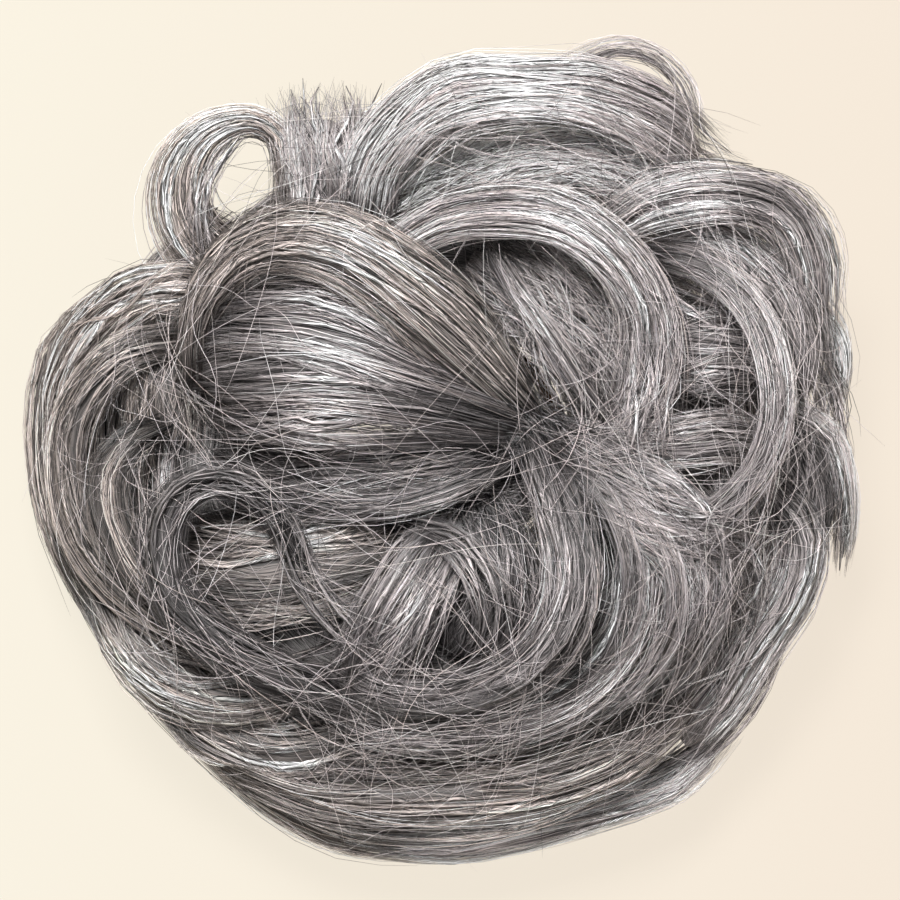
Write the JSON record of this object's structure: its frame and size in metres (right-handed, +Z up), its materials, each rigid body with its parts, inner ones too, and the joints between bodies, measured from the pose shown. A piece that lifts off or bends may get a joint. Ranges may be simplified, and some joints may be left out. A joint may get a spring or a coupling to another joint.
{
  "type": "top knot hairpiece",
  "caption": "Messy top knot hairpiece: curled grey locks layered over a hair base on an elastic ring, worn round a bun.",
  "frame": {"origin": "middle of the hairpiece's footprint, on the surface it rests on", "axes": "+Z up out of the top of the knot, away from the head; +Y towards the picture's top edge; +X towards its right edge"},
  "size_m": [0.1504, 0.1486, 0.0585],
  "materials": {
    "hair": "satin",
    "elastic": "matte"
  },
  "bodies": {
    "root": {"elastic_band": "elastic", "hair_base": "hair", "lock_arch_centre": "hair", "lock_arch_right": "hair", "lock_arch_top": "hair", "lock_arch_upper_left": "hair", "lock_band_left_centre": "hair", "lock_curl_centre_down": "hair", "lock_curl_left": "hair", "lock_curl_outer": "hair", "lock_edge_bottom": "hair", "lock_edge_bottom_left": "hair", "lock_edge_left": "hair", "lock_edge_right": "hair", "lock_edge_right_lower": "hair", "lock_edge_right_upper": "hair", "lock_fan_left": "hair", "lock_inner_centre": "hair", "lock_inner_curl": "hair", "lock_inner_left": "hair", "lock_inner_lower": "hair", "lock_inner_right": "hair", "lock_inner_top": "hair", "lock_loop_right": "hair", "lock_loop_top_left": "hair", "lock_loop_top_right": "hair", "lock_swag_bottom": "hair", "lock_swag_left": "hair", "lock_swag_left_lower": "hair", "lock_sweep_left_inner": "hair", "lock_sweep_left_outer": "hair", "lock_sweep_right": "hair", "lock_sweep_right_upper": "hair", "lock_sweep_upper_left": "hair", "lock_tuft_lower": "hair", "lock_tuft_upright": "hair", "lock_window_right": "hair", "lock_wisp_centre": "hair", "lock_wisp_left_centre": "hair", "skirt_high_1": "hair", "skirt_high_2": "hair", "skirt_high_3": "hair", "skirt_high_4": "hair", "skirt_high_5": "hair", "skirt_low_1": "hair", "skirt_low_2": "hair", "skirt_low_3": "hair", "skirt_low_4": "hair", "skirt_low_5": "hair", "skirt_low_6": "hair"}
  },
  "joints": []
}
